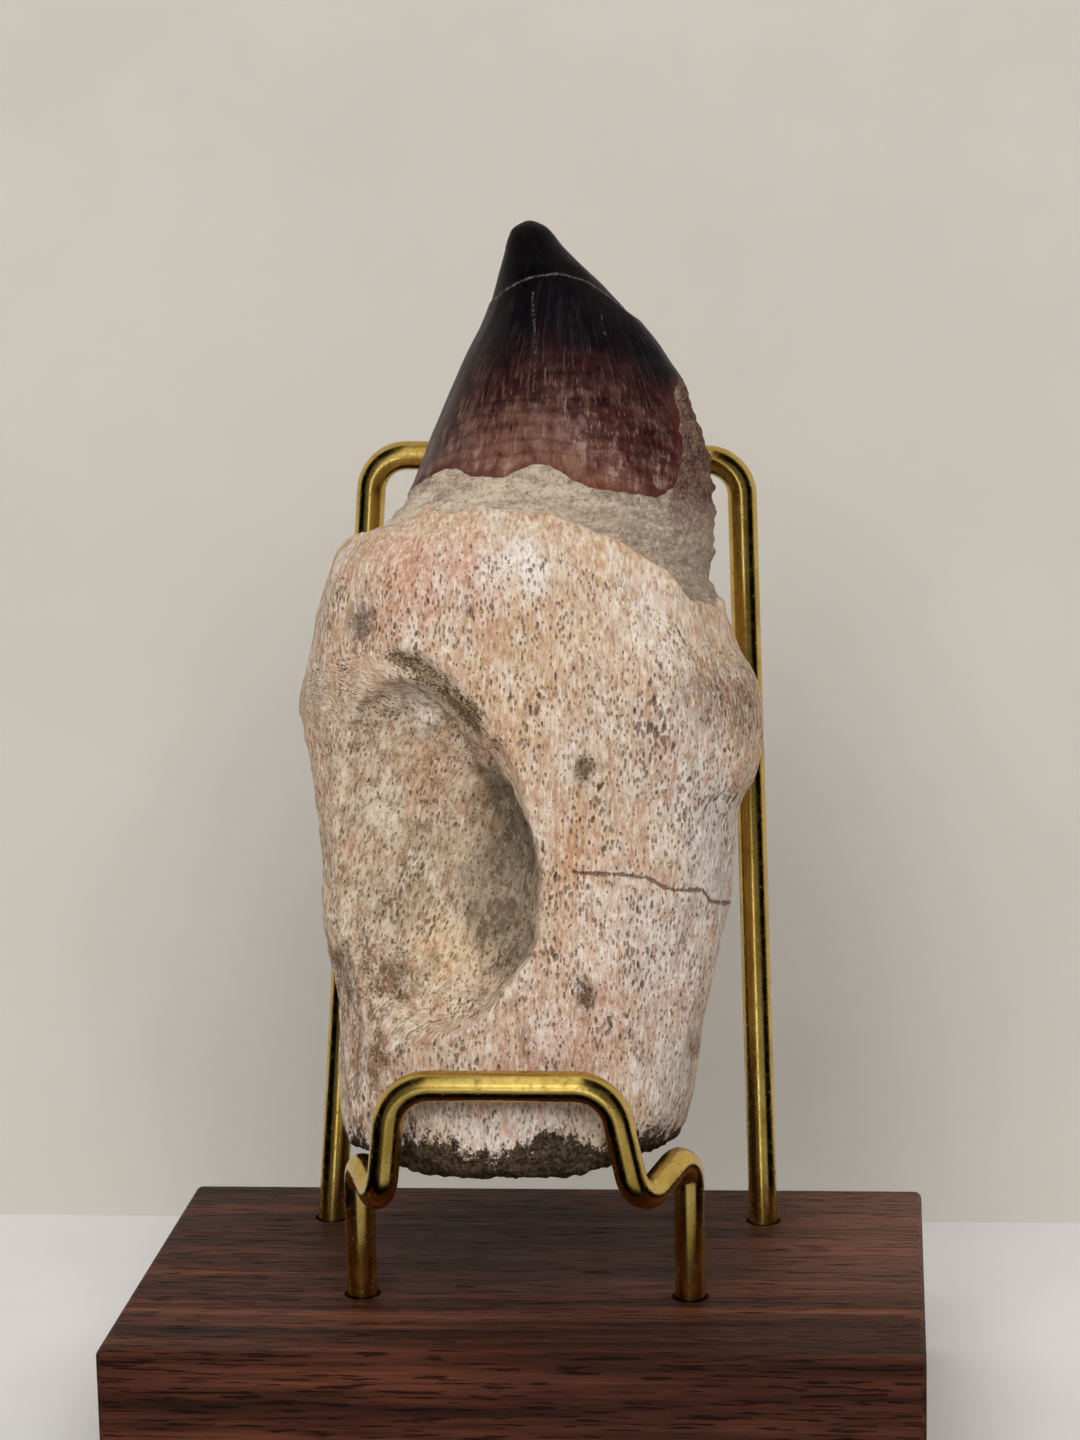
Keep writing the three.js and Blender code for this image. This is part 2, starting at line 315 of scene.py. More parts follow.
def makeBlock(routes):
    low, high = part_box("walnut_base")
    deselectAll()
    bpy.ops.mesh.primitive_cube_add(size=1, location=(low + high) / 2, scale=high - low)
    block = placeInMesh(bpy.context.object, "walnut_block")
    bpy.ops.object.mode_set(mode="EDIT")
    bpy.ops.mesh.select_all(action="SELECT")
    bpy.ops.mesh.bevel(offset=walnutBlock["edge"] * mm, segments=walnutBlock["edgeSteps"], affect="EDGES")
    bpy.ops.object.mode_set(mode="OBJECT")
    for corners, _ in routes:
        for end, top in ((corners[0], corners[1]), (corners[-1], corners[-2])):
            drillHole(block, end * mm, top * mm)
    makeActive(block)
    bpy.ops.object.shade_smooth_by_angle(angle=math.radians(35))
    return block


def drillHole(block, end, top):
    # the drill follows the leg, from a little below its buried end to above the block
    up = (top - end).normalized()
    low = end - up * (walnutBlock["holeDepth"] - brassWires["buried"]) * mm
    length = (walnutBlock["holeDepth"] + walnutBlock["drillAbove"]) * mm
    deselectAll()
    bpy.ops.mesh.primitive_cylinder_add(
        vertices=walnutBlock["holeSides"], radius=walnutBlock["holeRadius"] * mm, depth=length,
        location=low + up * length / 2, rotation=up.to_track_quat("Z", "Y").to_euler())
    drill = bpy.context.object
    modifier = block.modifiers.new("hole", "BOOLEAN")
    modifier.operation = "DIFFERENCE"
    modifier.object = drill
    applyAll(block)
    bpy.data.objects.remove(drill)


def walnutFinish():
    shader = Shader("oiled_walnut")
    tones = toneSet(walnutBlock["tones"])
    place = shader.coordinates()
    x, y, _ = shader.split(place)
    # the grain runs along X; figure darkens broad soft zones
    figure = shader.noise(shader.stretch(place, (0.02, 0.05, 0.05)), 1.0, 2.0)
    grain = shader.noise(shader.stretch(place, (0.018, 0.38, 0.50)), 1.0, 5.0, 0.62, 0.15)
    fine = shader.noise(shader.stretch(place, (0.10, 2.0, 2.6)), 1.0, 4.0, 0.65)
    vessels = shader.noise(shader.stretch(place, (0.22, 3.2, 3.2), location=(31, 5, 9)), 1.0, 2.0, 0.5)
    pores = vessels.rise(0.56, 0.65)
    # painted shadow of the tooth darkens the middle of the top; its back right corner is paler
    toothShadow = (x * x * 0.0008 + (y - 6) * (y - 6) * 0.003 + (figure - 0.5)).fall(0.1, 1.0)
    paler = x.rise(14, 40) * y.rise(-22, 6)
    wood = shader.ramp(grain, [
        (0.30, tones["dark"]), (0.43, tones["mid"]), (0.60, tones["warm"]), (0.80, tones["light"])])
    wood = shader.coats(wood, [
        (fine.rise(0.46, 0.66) * 0.45, tones["fine"]),
        (figure.rise(0.42, 0.66) * 0.4, tones["figure"]),
        (toothShadow * 0.45, tones["toothShadow"]),
        (paler * (0.3 + grain * 0.3), tones["paler"]),
        (pores * 0.8, tones["pore"]),
    ])
    height = (fine * 0.35 + grain * 0.2) - pores
    return shader.finish(
        Base_Color=wood,
        Roughness=0.45 + fine * 0.16 + pores * 0.2,
        Normal=shader.bump(height, walnutBlock["relief"] * mm, 0.6),
        Specular_IOR_Level=walnutBlock["gloss"])


def brassFinish():
    shader = Shader("aged_brass")
    tones = toneSet(brassWires["tones"])
    place = shader.coordinates()
    cloud = shader.noise(place, 0.22, 4.0, 0.6)
    smear = shader.noise(place, 1.1, 4.0, 0.65)
    specks = shader.cells(place, 0.9).fall(0.07, 0.13) * smear.rise(0.45, 0.6)
    metal = shader.mix(cloud.rise(0.35, 0.70), tones["bright"], tones["dull"])
    metal = shader.coats(metal, [
        (smear.rise(0.55, 0.80) * 0.5, tones["smear"]),
        (specks * 0.8, tones["speck"]),
    ])
    height = smear * 0.4 + cloud * 0.3 - specks
    return shader.finish(
        Base_Color=metal,
        Metallic=1.0 - specks * 0.6,
        Roughness=0.20 + smear.rise(0.4, 0.8) * 0.16 + specks * 0.3,
        Normal=shader.bump(height, brassWires["relief"] * mm, 0.35))


# Tooth. Its own frame has its axis up, the viewer's side at -Y, and heights along the axis.

fossilTooth = {
    "seat": (0, -4.8, blockTop + 14.4),     # where the tooth's own frame starts
    "lean": math.radians(11),
    "voxel": 0.405,         # size of the remesh
    "rub": 6,               # rounds of smoothing over the whole tooth
    # rounds of smoothing above a height, with the height at which each starts and is full
    "crownPolish": (24, 66, 70),
    "tipPolish": (60, 93, 96),
    # lower edge of the enamel and upper edge of the root, as [across, height] seen from the front
    "enamelFront": [[-20, 68.0], [-13.2, 68.5], [-10.8, 70.2], [-8, 71.3], [-6.2, 71.4], [-4.6, 70.6],
                    [-1.4, 70.3], [0, 70.6], [2.2, 71.5], [3.6, 71.5], [5.8, 70.2], [8, 69.2],
                    [11.4, 68.6], [14.5, 68.3], [16, 69.2], [21, 69.4]],
    "enamelBack": [[-20, 68.0], [-12, 69.8], [-7, 68.4], [-2, 70.6], [3, 69.1], [8, 71.0], [13, 69.0],
                   [21, 69.4]],
    "rootFront": [[-24, 64.6], [-15.6, 64.8], [-13.6, 65.3], [-10.6, 66.2], [-9, 67.2], [-7.4, 66.6],
                  [-5.6, 66.6], [-3.4, 67.1], [-1.2, 66.8], [1.2, 66.3], [4.4, 66.3], [6.7, 65.4],
                  [9.2, 64.4], [12, 63.0], [14.4, 61.3], [15.8, 60.3], [16.8, 59.0], [18, 57.6],
                  [26, 56.4]],
    "rootBack": [[-24, 64.6], [-14, 65.6], [-8, 63.4], [-2, 64.4], [4, 62.2], [10, 63.2], [16, 59.8],
                 [26, 56.4]],
    # bare strip at the right of the enamel, as [height, across]
    "stripEdge": [[60, 15.4], [66, 15.6], [69, 16.2], [72, 17.0], [75, 16.9], [78, 16.4], [80, 16.3],
                  [81.5, 16.8], [82.4, 19], [84, 30]],
    "stripWave": 1.1,       # how far that edge wanders
    "ledge": 0.75,          # how far the root's top edge stands out, and how far down it fades
    "ledgeFade": 3.5,
    "enamelStep": 0.32,     # the same for the enamel's lower edge
    "enamelFade": 6,
    # lumps in layers of noise, each as (height, size, seed, stretch)
    "lumps": {
        "enamelLine": [(0.28, 1.3, 0), (0.15, 0.6, 7)],
        "rootLine": [(0.45, 2.2, 3), (0.2, 0.9, 5)],
        "matrix": [(0.3, 1.9, 11), (0.24, 0.8, 13), (0.34, 1.2, 15, (3, 3, 0.8))],
        "root": [(0.25, 7, 17), (0.17, 1.5, 19, (1, 1, 2.4)), (0.07, 0.7, 23, (1, 1, 3)),
                 (0.16, 3.4, 27, (1, 1, 1.6))],
        "crown": [(0.05, 1.3, 29, (1, 1, 14))],
        "pits": [(0.9, 1.3, 33), (0.5, 0.6, 35)],
        "seam": [(0.4, 1.0, 67)],
        "hollowLine": [(0.5, 2.0, 51)],
        "hollow": [(0.3, 2.4, 53), (0.18, 1.0, 57)],
        "broken": [(0.35, 1.4, 31), (0.25, 0.7, 37)],
        "darkWall": [(0.6, 2.6, 61), (0.8, 0.9, 63)],
        "tintsAcross": [(1.2, 3.0, 41), (0.7, 1.2, 45)],
        "tintsUp": [(1.2, 3.0, 43), (0.7, 1.2, 47)],
    },
    # upper edge of the dark broken underside, dark partly in its own colour and partly with painted shade,
    # as [across, height]
    "brokenEdge": [[-20, 3.0], [-16, 2.4], [-13, 2.6], [-10, 3.0], [-7.5, 2.4], [-4, 1.2], [0, 1.0],
                   [2, 2.6], [5, 2.8], [7, 2.0], [10, 2.2], [13, 3.0], [17, 2.4], [22, 3.0]],
    # small pits on the front, as [across, height, radius, depth]
    "pits": [[7.6, 40.5, 0.8, 0.4], [7.6, 17.3, 1.0, 0.45], [-3.9, 56.5, 0.35, 0.6],
             [-15.6, 55.3, 1.2, 0.4], [18.4, 10.5, 0.7, 0.35], [-14.0, 11.0, 0.9, 0.35]],
    # the slot above the hollow with its raised lip, and a fine seam under it
    "slotRoute": [[-12.6, 52], [-9.6, 51], [-6.6, 49.2], [-4.4, 47], [-2.9, 44.6]],
    "seamRoute": [[-11.2, 49.6], [-8.4, 47.8], [-6.3, 45.6], [-5.0, 42.6], [-4.2, 39.6]],
    "slotLip": 0.35,
    "slotLipAt": 1.7,       # distance of the lip from the slot's line
    "seamDepth": 0.3,
    # outline of the hollow, which runs out over the left edge, its deep right wall and its rim
    "hollow": [[-4.3, 46], [-1.5, 40.8], [2.1, 34.7], [3.3, 28.8], [1.9, 21.3], [-2.3, 15.9], [-5.1, 13.6],
               [-10, 13.4], [-16.5, 15], [-26, 16], [-26, 48], [-15, 50], [-9.6, 49.2], [-6.6, 47.8]],
    "wallDepth": 1.7,
    "rimHeight": 0.35,
    # dark patch on the right wall, grey spongy matrix with painted shade laid into it
    "darkWall": [[-4.9, 40.4], [1.2, 40.6], [5.2, 32.4], [5.6, 28], [4.2, 21.4], [1.2, 18.2], [-3.0, 19.8],
                 [-5.2, 24.0], [-5.0, 29.2], [-3.6, 33.6], [-4.4, 36.8]],
    # cracks, as [across, height]; the ring crack has a front and a back line and a step above it
    "ringCrack": [[-2.6, 90.3], [-2.1, 90.7], [0.8, 91.9], [3.9, 92.4], [7.0, 91.8], [9.0, 90.5],
                  [11.1, 88.7], [12.5, 87.6]],
    "ringCrackBack": [[-4, 90.0], [12, 87.9]],
    "ringTurn": -4.0,       # depth at which the back line takes over
    "ringStep": 0.14,
    "ringStepRight": 0.22,  # how much deeper the step is at the right
    "rootCrack": [[6.3, 29.9], [11.0, 29.7], [14.0, 29.3], [15.4, 28.4], [16.6, 28.0], [19.2, 28.0],
                  [20.0, 26.7], [21.9, 26.2], [24, 26.4]],
    # fine upright cracks in the crown, as [height, across], the first is the clearest
    "crownCracks": [[[78.8, 2.0], [82, 2.1], [85.4, 1.9], [88, 1.6], [90.6, 1.4]],
                    [[79.6, 5.3], [82, 5.1], [84.8, 5.2]],
                    [[84.8, 9.3], [86.6, 8.8], [88.4, 8.6]]],
    # the tip is a small dome that ends just under the modelled tip
    "tipRadius": 2.2,
    "tipGap": 0.06,
    "fieldReach": 9.0,      # distances over this are cut off, or stand for no crack at all
}

# Tints painted on the root, each as (across, height, half width, half height, colour, strength)
rootTints = [
    (-13.5, 60, 4, 6, (188, 158, 128), 0.8),
    (-9.5, 60, 4, 6, (204, 158, 134), 0.85),
    (-3.5, 60.5, 3.5, 5, (208, 162, 140), 0.8),
    (1.5, 61.5, 4, 4, (232, 226, 218), 0.95),
    (-6.5, 61.5, 1.5, 3.5, (212, 196, 182), 0.6),
    (-8, 66, 6, 2.2, (196, 166, 134), 0.9),
    (2, 65, 7, 2.2, (192, 162, 128), 0.9),
    (11, 61.5, 6, 3.0, (198, 168, 132), 0.9),
    (12, 56.5, 6, 3.0, (206, 190, 172), 0.8),
    (4, 53, 9, 6, (196, 164, 128), 0.9),
    (3, 45, 5, 7, (200, 168, 132), 0.8),
    (19.8, 48, 3, 3.8, (116, 94, 76), 0.95),
    (22.8, 47, 2.4, 4, (112, 88, 60), 1.0),
    (10, 44, 7, 8, (188, 168, 146), 0.6),
    (7.5, 29, 2.6, 8, (204, 166, 126), 0.8),
    (10, 25, 4, 7, (206, 188, 174), 0.7),
    (17, 40, 5, 8, (204, 192, 180), 0.6),
    (20, 32, 3, 12, (186, 184, 180), 0.8),
    (16, 20, 5, 8, (192, 176, 168), 0.7),
    (6, 13, 8, 5, (196, 160, 142), 0.8),
    (17, 8, 4, 6, (184, 178, 172), 0.8),
    (0, 4, 8, 2.6, (190, 182, 172), 0.9),
    (-15, 11, 3, 2.4, (120, 98, 78), 0.7),
    (6, 33, 1.2, 5, (196, 150, 106), 0.7),
    (-15.5, 55.3, 1.7, 2.2, (96, 72, 52), 1.0),
    (18.4, 10.5, 1.2, 3, (118, 98, 82), 0.7),
    (13.1, 11, 0.8, 1.5, (128, 102, 82), 0.7),
    (1.5, 13, 0.7, 2.6, (124, 94, 72), 0.8),
    (14.2, 23, 2.5, 5, (212, 200, 190), 0.6),
    (-3.9, 56.5, 0.45, 0.45, (24, 16, 12), 1.0),
    (-2.5, 60.5, 1.0, 3.0, (222, 208, 196), 0.7),
    (14, 52, 4, 3, (214, 200, 184), 0.7),
    (-16, 50, 4, 4, (188, 150, 120), 0.6),
    (-17, 41, 4, 6, (180, 156, 134), 0.7),
    (-16.5, 7, 3.5, 4, (176, 150, 128), 0.7),
    # grey down the left edge is painted shade where the side turns away
    (-20.6, 42, 1.6, 14, (150, 140, 126), 0.8),
    (7.6, 40.5, 1.0, 1.4, (104, 90, 78), 1.0),
    (7.6, 17.3, 1.3, 1.7, (112, 88, 66), 1.0),
]
# Tints inside the hollow, on the front only
hollowTints = [
    (-14, 43, 6, 6, (196, 176, 152), 0.9),
    (-8.5, 40, 5, 5.5, (180, 149, 117), 0.95),
    (-4.6, 36, 2.2, 4, (166, 136, 104), 0.8),
    (-9, 32, 6, 5, (172, 152, 126), 0.9),
    (-16, 31, 4, 6, (186, 162, 134), 0.7),
    (-12, 26, 5, 3.5, (146, 128, 102), 0.7),
    (-7.0, 21.5, 4.6, 4, (210, 182, 144), 0.95),
    (-16, 21.5, 3, 3.2, (180, 154, 126), 0.85),
    (-13.0, 19.6, 3.4, 2.4, (126, 102, 76), 0.9),
    (-15, 36, 3, 2.5, (206, 192, 172), 0.7),
    (-12, 29.5, 4, 1.6, (190, 172, 148), 0.6),
    (-9, 15.4, 7, 1.4, (204, 178, 148), 0.8),
    (-13, 17.2, 4, 1.1, (110, 88, 66), 0.7),
    (-8.8, 46.6, 1.3, 2.4, (226, 210, 194), 0.95),
    (-11.2, 48.5, 2.2, 1.0, (222, 206, 190), 0.85),
    (-18, 18.5, 1.8, 3.6, (112, 100, 86), 0.8),
    (-5.6, 43.2, 0.9, 3.2, (214, 192, 166), 0.8),
    (-2.4, 38.4, 0.9, 2.6, (206, 178, 146), 0.7),
]
boneTone = (198, 174, 148)      # where no tint lies


def toothFrame(points):
    # points in metres in the stand's frame, as millimetres in the tooth's own frame
    away = points / mm - np.array(fossilTooth["seat"])
    cosine, sine = math.cos(fossilTooth["lean"]), math.sin(fossilTooth["lean"])
    return np.column_stack([
        away[:, 0],
        away[:, 1] * cosine - away[:, 2] * sine,
        away[:, 1] * sine + away[:, 2] * cosine])


def smoothRise(value, low, high):
    share = np.clip((value - low) / (high - low), 0, 1)
    return share * share * (3 - 2 * share)


def grainOf(points, size, shift=0.0, stretch=(1, 1, 1)):
    # noise from about -1 to 1 with lumps of one size
    scaled = points / (size * np.array(stretch)) + shift
    return np.array([noise.noise(Vector(point)) for point in scaled])


def lumpsOf(points, name):
    # the layers of one kind of lump, added up
    return sum(layer[0] * grainOf(points, *layer[1:]) for layer in fossilTooth["lumps"][name])


def lineHeight(line, across):
    knots = np.array(line)
    return np.interp(across, knots[:, 0], knots[:, 1])


def edgeField(local, front, back, turn=-1.0):
    # how far each point is above an edge that runs round the tooth; the front's line holds up
    # to one depth, and the back's line from 1 mm behind the middle
    share = smoothRise(local[:, 1], turn, 1.0)
    edge = lineHeight(front, local[:, 0]) * (1 - share) + lineHeight(back, local[:, 0]) * share
    return local[:, 2] - edge


def routeDistance(local, route):
    # the shortest distance to a route drawn on the front
    points = local[:, [0, 2]]
    unmet = 99.0
    best = np.full(len(points), unmet)
    for start, end in zip(route, route[1:]):
        start, run = np.array(start, float), np.array(end, float) - np.array(start, float)
        along = np.clip((points - start) @ run / (run @ run), 0, 1)
        best = np.minimum(best, np.linalg.norm(points - start - along[:, None] * run, axis=1))
    return np.where(local[:, 1] < 0, best, unmet)


def insideField(local, outline):
    # how far inside a closed outline on the front a point is; less than 0 outside
    corners = np.array(outline, float)
    inside = np.zeros(len(local), bool)
    for (x0, h0), (x1, h1) in zip(corners, np.roll(corners, -1, axis=0)):
        if h0 != h1:
            crosses = (local[:, 2] > min(h0, h1)) & (local[:, 2] <= max(h0, h1))
            inside ^= crosses & (local[:, 0] < x0 + (local[:, 2] - h0) * (x1 - x0) / (h1 - h0))
    distance = routeDistance(local, [*outline, outline[0]])
    return np.where(inside & (local[:, 1] < 0), distance, -distance)


def copyTooth():
    # the modelled solid, merged, remeshed finely and rubbed smooth, most of all at crown and tip
    piece = bpy.data.objects.new("fossil_tooth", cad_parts["tooth"].data.copy())
    bpy.context.scene.collection.objects.link(piece)
    piece.data.materials.clear()
    makeActive(piece)
    bpy.ops.object.mode_set(mode="EDIT")
    bpy.ops.mesh.select_all(action="SELECT")
    bpy.ops.mesh.remove_doubles(threshold=0.000001)
    bpy.ops.object.mode_set(mode="OBJECT")
    remesh = piece.modifiers.new("fine", "REMESH")
    remesh.mode = "VOXEL"
    remesh.voxel_size = fossilTooth["voxel"] * mm
    applyAll(piece)
    rubSmooth(piece, fossilTooth["rub"])
    for name in ("crownPolish", "tipPolish"):
        iterations, low, high = fossilTooth[name]
        group = piece.vertex_groups.new(name=name)
        share = smoothRise(toothFrame(readPoints(piece.data))[:, 2], low, high)
        for index in np.flatnonzero(share > 0):
            group.add([int(index)], float(share[index]), "REPLACE")
        rubSmooth(piece, iterations, name)
    piece.vertex_groups.clear()
    return piece


def rubSmooth(piece, iterations, group=""):
    smooth = piece.modifiers.new("rub", "SMOOTH")
    smooth.factor = 0.5
    smooth.iterations = iterations
    smooth.vertex_group = group
    applyAll(piece)


def readPoints(mesh, what="co"):
    values = np.empty(len(mesh.vertices) * 3)
    mesh.vertices.foreach_get(what, values)
    return values.reshape(-1, 3)


def pitShares(local):
    # share and depth of the small ragged pits
    pit, pitDepth = np.zeros(len(local)), np.zeros(len(local))
    patchy = lumpsOf(local, "pits")
    for x, h, radius, depth in fossilTooth["pits"]:
        reach = np.hypot(local[:, 0] - x, (local[:, 2] - h) / 1.3) + radius * patchy
        share = (1 - smoothRise(reach, radius * 0.6, radius * 1.3)) * (local[:, 1] < 2)
        pitDepth += depth * share
        pit = np.maximum(pit, share)
    return pit, pitDepth


def crackFields(local):
    # height over the ring crack, which runs all round, and over the root's crack, and the
    # distance across to the nearest upright crack of the crown
    spec = fossilTooth
    across, depth, height = local.T
    far = spec["fieldReach"]
    line = spec["rootCrack"]
    there = (across > line[0][0]) & (depth < 3)
    rootCrack = np.where(there, height - lineHeight(line, across), far)
    nearest = np.full(len(local), far)
    for order, line in enumerate(spec["crownCracks"]):
        there = (height > line[0][0]) & (height < line[-1][0]) & (depth < 0)
        reach = np.abs(across - lineHeight(line, height)) + 0.03 * order
        nearest = np.minimum(nearest, np.where(there, reach, far))
    ringCrack = edgeField(local, spec["ringCrack"], spec["ringCrackBack"], spec["ringTurn"])
    return {"ringCrack": ringCrack, "rootCrack": rootCrack, "crownCrack": nearest}


def toothFields(local):
    # how each point lies to the edges and marks, as distances or as shares from 0 to 1
    spec = fossilTooth
    across, depth, height = local.T
    far = spec["fieldReach"]
    strip = across - lineHeight(spec["stripEdge"], height) - 1.5 * np.maximum(depth - 2, 0)
    strip = strip + spec["stripWave"] * smoothRise(depth, -5, 0) * grainOf(local, 2.6, 71)
    enamel = np.minimum(edgeField(local, spec["enamelFront"], spec["enamelBack"]), -strip)
    root = edgeField(local, spec["rootFront"], spec["rootBack"])
    hollow = insideField(local, spec["hollow"]) + lumpsOf(local, "hollowLine")
    hollowBlur = 0.5 + 5 * (1 - smoothRise(across, -13, -5))
    darkWall = insideField(local, spec["darkWall"]) + lumpsOf(local, "darkWall")
    darkWall = smoothRise(darkWall, -2.6 + 1.2 * smoothRise(height, 30, 34), 2.2)
    overBroken = height - lineHeight(spec["brokenEdge"], across)
    return {
        "enamelEdge": enamel + lumpsOf(local, "enamelLine"),
        "rootEdge": root + lumpsOf(local, "rootLine"),
        "slotNear": routeDistance(local, spec["slotRoute"]),
        "seamNear": routeDistance(local, spec["seamRoute"]) + np.abs(lumpsOf(local, "seam")),
        "hollow": hollow,
        "inHollow": smoothRise(hollow / hollowBlur, -0.5, 0.7),
        "darkWall": darkWall * smoothRise(hollow, -0.3, 0.5),
        "strip": np.clip(strip, -far, far),
        "overBroken": np.clip(overBroken, -far, far),
        **crackFields(local),
    }


def tipDome(points, local):
    spec = fossilTooth
    tip = points[:, 2].argmax()
    lift = (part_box("tooth")[1].z - points[tip, 2]) / mm - spec["tipGap"]
    aside = np.linalg.norm(local[:, :2] - local[tip, :2], axis=1)
    return lift * np.exp(-(aside / spec["tipRadius"]) ** 2) * smoothRise(local[:, 2], 94, 96.5)


def toothRelief(local, fields):
    # how far each point moves out along its normal
    spec = fossilTooth
    across, _, height = local.T
    enamel, root, hollow = fields["enamelEdge"], fields["rootEdge"], fields["hollow"]
    onRoot = smoothRise(-root, -0.3, 0.5)
    onEnamel = smoothRise(enamel, -0.2, 0.2)

    # the enamel and the root end in a step, with the rough matrix between them
    push = spec["enamelStep"] * onEnamel * np.exp(-np.maximum(enamel, 0) / spec["enamelFade"])
    push += spec["ledge"] * onRoot * np.exp(-np.maximum(-root, 0) / spec["ledgeFade"])
    push += (1 - onRoot) * (1 - onEnamel) * lumpsOf(local, "matrix")

    # root: broad dents, lumps and a stringy grain along the tooth
    push += onRoot * lumpsOf(local, "root")

    # crown: faint flutes along the tooth, and a step down above the ring crack
    push += onEnamel * lumpsOf(local, "crown")
    overRing = fields["ringCrack"]
    ringStep = spec["ringStep"] + spec["ringStepRight"] * smoothRise(across, 8, 12)
    push -= ringStep * smoothRise(overRing, -0.2, 0.2) * np.exp(-np.maximum(overRing, 0) / 2.5)

    # the slot above the hollow has a raised lower lip
    push -= spec["seamDepth"] * (1 - smoothRise(fields["seamNear"], 0.15, 0.6))
    push += spec["slotLip"] * np.exp(-((fields["slotNear"] - spec["slotLipAt"]) / 0.7) ** 2)

    # the hollow is deepest against its right wall, under a sharp rim, and its floor is coarse
    rightWall = smoothRise(across, -9, -1) * smoothRise(height, 15, 22) * (1 - smoothRise(height, 40, 46))
    wallBand = smoothRise(hollow, 0.2, 1.6) * (1 - smoothRise(hollow, 3.5, 7.5))
    push -= spec["wallDepth"] * rightWall * wallBand
    push += spec["rimHeight"] * np.exp(-((hollow + 0.7) / 0.8) ** 2) * smoothRise(across, -11, -5)
    push += fields["inHollow"] * lumpsOf(local, "hollow")

    # the broken underside is spongy
    push += (1 - smoothRise(fields["overBroken"], -1.0, 0.8)) * lumpsOf(local, "broken")
    return push


def sculptTooth(piece):
    points = readPoints(piece.data)
    normals = readPoints(piece.data, "normal")
    local = toothFrame(points)
    fields = toothFields(local)
    fields["pit"], pitDepth = pitShares(local)
    push = toothRelief(local, fields) - pitDepth + tipDome(points, local)
    del fields["hollow"]        # the shader reads the other fields
    points = points + normals * (push * mm)[:, None]
    piece.data.vertices.foreach_set("co", points.ravel())
    piece.data.update()
    for name, values in fields.items():
        writeField(piece.data, name, values)
    paintTints(piece.data, local, fields["inHollow"])
    makeActive(piece)
    bpy.ops.object.shade_smooth()


def writeField(mesh, name, values):
    field = mesh.attributes.new(name, "FLOAT", "POINT")
    field.data.foreach_set("value", np.asarray(values, np.float32))


def paintTints(mesh, local, inHollow):
    # soft-edged patches; the back repeats the front's in mirror image, a little lower
    backward = smoothRise(local[:, 1], -2.0, 2.0)
    wanderAcross, wanderUp = lumpsOf(local, "tintsAcross"), lumpsOf(local, "tintsUp")
    colours = np.tile(tone(*boneTone), (len(local), 1))
    sides = [
        (rootTints, 1, 0, (1 - backward) * (1 - inHollow)),
        (rootTints, -1, 5, backward),
        (hollowTints, 1, 0, inHollow),
    ]
    for tints, mirror, shift, side in sides:
        for x, h, wide, tall, colour, strength in tints:
            # small patches wander less
            acrossReach = (local[:, 0] * mirror + wanderAcross * min(1, wide / 3) - x) / wide
            upReach = (local[:, 2] + shift + wanderUp * min(1, tall / 3) - h) / tall
            share = strength * side * np.exp(-((acrossReach ** 2 + upReach ** 2) ** 1.5))
            colours += (np.array(tone(*colour)) - colours) * share[:, None]
    tint = mesh.attributes.new("tint", "FLOAT_COLOR", "POINT")
    tint.data.foreach_set("color", colours.astype(np.float32).ravel())


toothTones = {
    "bone": {
        "pale": (228, 217, 207), "rose": (192, 148, 122), "chalk": (230, 219, 208),
        "tan": (172, 138, 108), "fibre": (240, 228, 214), "groove": (146, 106, 82),
        "streak": (226, 217, 208), "rust": (178, 120, 96), "poreDark": (92, 66, 50),
        "poreRed": (134, 84, 62), "poreDeep": (84, 58, 42), "pit": (100, 73, 50),
    },
    "hollow": {
        "pore": (100, 80, 58), "crumb": (220, 202, 176), "clumpDark": (88, 70, 53),
        # the right wall's tone is its grey, partly painted shade; the tone for its top is painted shade
        "clumpPale": (228, 214, 196), "wall": (118, 104, 84), "paintedWallShade": (76, 66, 51),
        "wallFibre": (176, 160, 134), "wallStain": (70, 59, 46), "wallCrumb": (56, 46, 35),
    },
    "matrix": {
        "dark": (170, 152, 133), "pale": (218, 199, 174), "left": (228, 209, 190), "right": (146, 128, 113),
        "stripDark": (80, 43, 48), "stripPale": (130, 103, 84), "gritPale": (232, 216, 198),
        "gritDark": (104, 84, 70),
    },
    # from the enamel's lower edge up to the tip
    "crownLevels": [
        (0.02, (116, 66, 50)), (0.12, (128, 92, 75)), (0.24, (110, 75, 63)), (0.36, (66, 35, 31)),
        (0.52, (46, 22, 22)), (0.64, (12, 9, 15)), (0.76, (4, 3, 8)), (0.84, (0, 0, 3)),
    ],
    "crown": {
        # left is a painted grey sheen on the crown; right is partly its red-brown colour, partly painted
        # sheen
        "left": (92, 76, 78), "right": (70, 34, 30), "band": (24, 12, 15), "mottle": (146, 112, 94),
        "flute": (142, 120, 116), "thread": (160, 136, 124), "ripple": (34, 16, 17), "amber": (152, 90, 58),
        "shade": (120, 84, 84), "haze": (196, 172, 158), "foot": (84, 40, 34),
    },
    "marks": {
        "ring": (160, 148, 142), "crownCrack": (164, 144, 136), "rootCrack": (100, 63, 43),
        "slotDark": (62, 47, 33), "slotPale": (150, 126, 97), "seam": (92, 74, 56),
        # the underside's near-black is partly its own colour, partly painted shade under the tooth
        "spongeAndShadeDark": (24, 17, 11), "spongePale": (82, 65, 46),
    },
}
toothGloss = {
    "relief": 0.36,         # height of the fine bump
    "boneRoughness": 0.90,
    "enamelPolish": 0.62,   # how much smoother the enamel is
    "specular": 0.07,
}


